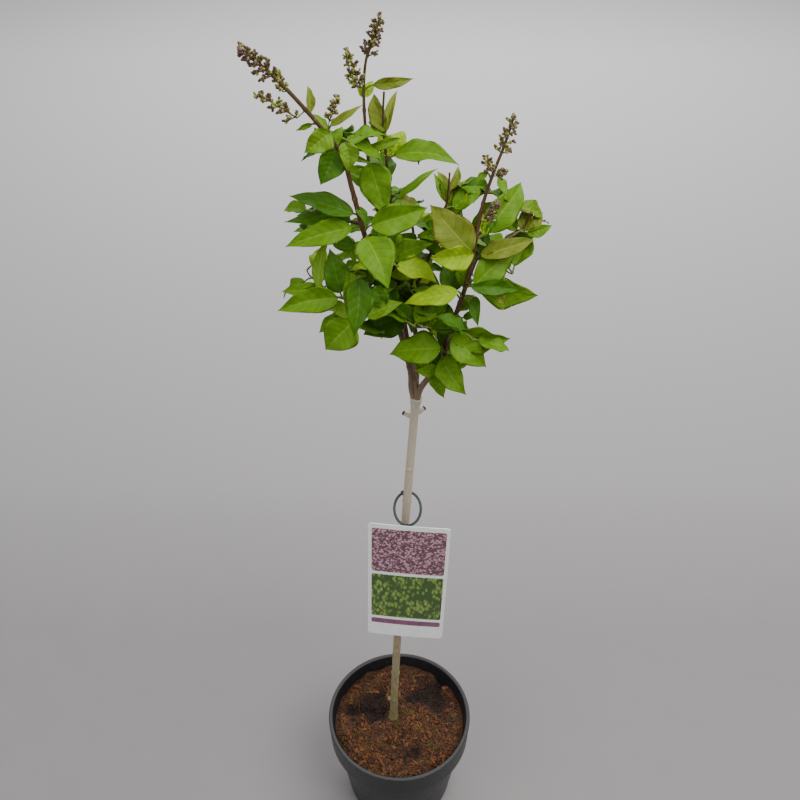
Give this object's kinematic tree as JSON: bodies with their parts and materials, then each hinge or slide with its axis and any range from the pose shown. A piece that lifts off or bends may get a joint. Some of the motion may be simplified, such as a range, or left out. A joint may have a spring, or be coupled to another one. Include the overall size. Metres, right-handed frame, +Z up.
{
  "type": "potted minuet lilac",
  "caption": "Young dwarf lilac grafted on a tall clear stem in a round nursery pot, with leafy shoots, flower buds at their tips and a picture card hung on the stem.",
  "frame": {"origin": "centre of the pot's flat underside", "axes": "+Z up along the stem; -Y is the side the picture card faces; +X is to the right as that side is looked at"},
  "size_m": [0.236, 0.2017, 1.0523],
  "materials": {
    "pot_plastic": "moulded black polypropylene, satin",
    "soil": "moist coir, bark chips and peat",
    "bark": "young smooth bark with pale pores, olive at the foot and grey-tan above",
    "shoot_bark": "soft new shoot, red-brown and finely downy",
    "leaf": "fresh green leaf with sunken veins and a satin upper side",
    "young_leaf": "young leaf flushed bronze",
    "bud": "closed flower buds, dull purple over yellow-green stalks",
    "card": "printed plastic card with a white border",
    "tie": "dark green moulded plastic loop"
  },
  "bodies": {
    "root": {"bough_back": "bark", "bough_front": "bark", "bough_left": "bark", "bough_right": "bark", "flower_head_left": "bud", "flower_head_left_side": "bud", "flower_head_middle": "bud", "flower_head_middle_side": "bud", "flower_head_right": "bud", "flower_shoot_left": "shoot_bark", "flower_shoot_right": "shoot_bark", "foliage_back_left": "leaf", "foliage_back_low": "leaf", "foliage_back_middle": "leaf", "foliage_back_right": "leaf", "foliage_centre": "leaf", "foliage_far_right": "young_leaf", "foliage_front_left": "leaf", "foliage_front_middle": "leaf", "foliage_heart": "leaf", "foliage_high_leaves": "leaf", "foliage_low_left": "leaf", "foliage_low_right": "leaf", "foliage_middle_left": "leaf", "foliage_middle_right": "leaf", "foliage_top_left": "leaf", "foliage_top_middle": "leaf", "foliage_top_right": "leaf", "foliage_tuft": "leaf", "foliage_upper_middle": "leaf", "foliage_upper_right": "leaf", "foliage_upper_shoot": "young_leaf", "label_card": "card", "label_loop": "tie", "pot": "pot_plastic", "potting_soil": "soil", "shoot_left": "shoot_bark", "shoot_middle": "shoot_bark", "stem": "bark"}
  },
  "joints": []
}
